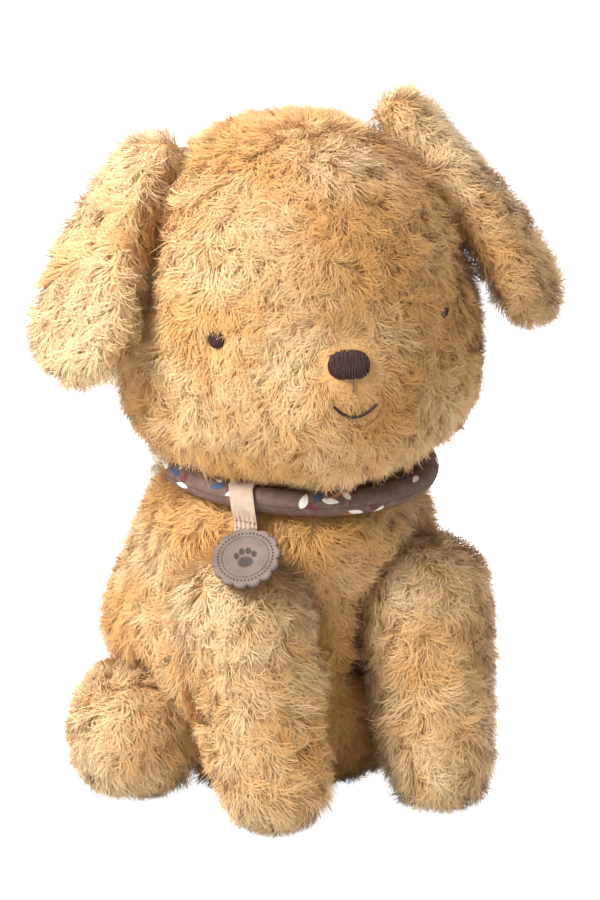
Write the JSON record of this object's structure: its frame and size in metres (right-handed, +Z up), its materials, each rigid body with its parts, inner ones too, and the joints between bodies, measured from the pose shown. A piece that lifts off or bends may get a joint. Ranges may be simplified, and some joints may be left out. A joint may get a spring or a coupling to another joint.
{
  "type": "plush dog",
  "caption": "Sitting long-pile plush puppy with floppy ears, embroidered face, padded printed collar and a scalloped leather tag on a cotton tape.",
  "frame": {"origin": "middle of the flat seat that the dog sits on", "axes": "+Z up, -Y the way the dog faces, +X the dog's left"},
  "size_m": [0.245, 0.2455, 0.3162],
  "materials": {
    "plush": "long tousled pile, honey cream",
    "plush_lining": "shorter pile, honey cream",
    "stuffing": "white polyester fibre",
    "pouch_cloth": "plain woven cotton",
    "pellets": "dull white beads",
    "dark_thread": "satin-stitch embroidery",
    "brown_thread": "single running thread",
    "printed_cotton": "plain weave, printed leaves on mauve",
    "cotton_tape": "undyed twill tape",
    "mauve_thread": "sewing thread",
    "leather": "matt grained, pressed marks"
  },
  "bodies": {
    "torso": {"torso_cover": "plush", "torso_stuffing": "stuffing", "pellet_bag": "pouch_cloth", "pellets": "pellets"},
    "head": {"head_cover": "plush", "head_stuffing": "stuffing", "eye_left": "dark_thread", "eye_right": "dark_thread", "nose": "dark_thread", "nose_stem": "brown_thread", "mouth": "dark_thread"},
    "ear_left": {"ear_left_outer": "plush", "ear_left_lining": "plush_lining"},
    "ear_right": {"ear_right_outer": "plush", "ear_right_lining": "plush_lining"},
    "front_leg_left": {"front_leg_left_cover": "plush", "front_leg_left_stuffing": "stuffing"},
    "front_leg_right": {"front_leg_right_cover": "plush", "front_leg_right_stuffing": "stuffing"},
    "hind_leg_left": {"hind_leg_left_cover": "plush", "hind_leg_left_stuffing": "stuffing"},
    "hind_leg_right": {"hind_leg_right_cover": "plush", "hind_leg_right_stuffing": "stuffing"},
    "tail": {"tail_cover": "plush", "tail_stuffing": "stuffing"},
    "collar": {"collar_tube": "printed_cotton", "collar_filling": "stuffing", "collar_tie": "cotton_tape"},
    "tag": {"tag_tape": "cotton_tape", "tag_stitches": "mauve_thread", "leather_tag": "leather"}
  },
  "joints": [
    {"name": "head_turn", "type": "hinge", "parent": "torso", "child": "head", "pos_m": [0, -0.027, 0.155], "axis": [0, -0.1564, 0.9877], "range_deg": [-20, 40], "stiffness_Nm_per_rad": 1},
    {"name": "ear_left_lift", "type": "hinge", "parent": "head", "child": "ear_left", "pos_m": [0.04639, -0.03304, 0.30234], "axis": [-0.6671, -0.7435, -0.0462], "range_deg": [0, 75]},
    {"name": "ear_right_lift", "type": "hinge", "parent": "head", "child": "ear_right", "pos_m": [-0.05957, -0.01436, 0.29293], "axis": [-0.3726, 0.9268, -0.0462], "range_deg": [0, 75]},
    {"name": "front_leg_left_swing", "type": "hinge", "parent": "torso", "child": "front_leg_left", "pos_m": [0.046, -0.07, 0.091], "axis": [-1, 0, 0], "range_deg": [0, 40], "stiffness_Nm_per_rad": 0.05},
    {"name": "front_leg_right_swing", "type": "hinge", "parent": "torso", "child": "front_leg_right", "pos_m": [-0.046, -0.07, 0.091], "axis": [-1, 0, 0], "range_deg": [0, 40], "stiffness_Nm_per_rad": 0.05},
    {"name": "hind_leg_left_swing", "type": "hinge", "parent": "torso", "child": "hind_leg_left", "pos_m": [0.058, 0.024, 0.027], "axis": [0, 0, 1], "range_deg": [0, 45], "stiffness_Nm_per_rad": 0.05},
    {"name": "hind_leg_right_swing", "type": "hinge", "parent": "torso", "child": "hind_leg_right", "pos_m": [-0.058, 0.024, 0.027], "axis": [0, 0, -1], "range_deg": [0, 45], "stiffness_Nm_per_rad": 0.05},
    {"name": "tail_wag", "type": "hinge", "parent": "torso", "child": "tail", "pos_m": [0, 0.07, 0.038], "axis": [0, 0, 1], "range_deg": [-35, 35], "stiffness_Nm_per_rad": 0.02},
    {"name": "collar_turn", "type": "hinge", "parent": "torso", "child": "collar", "pos_m": [0, -0.027, 0.155], "axis": [0, -0.1564, 0.9877], "range_deg": [-20, 20]},
    {"name": "tag_swing", "type": "hinge", "parent": "collar", "child": "tag", "pos_m": [-0.0446, -0.06954, 0.14826], "axis": [-0.6947, 0.7105, 0.1125], "range_deg": [0, 55]}
  ]
}
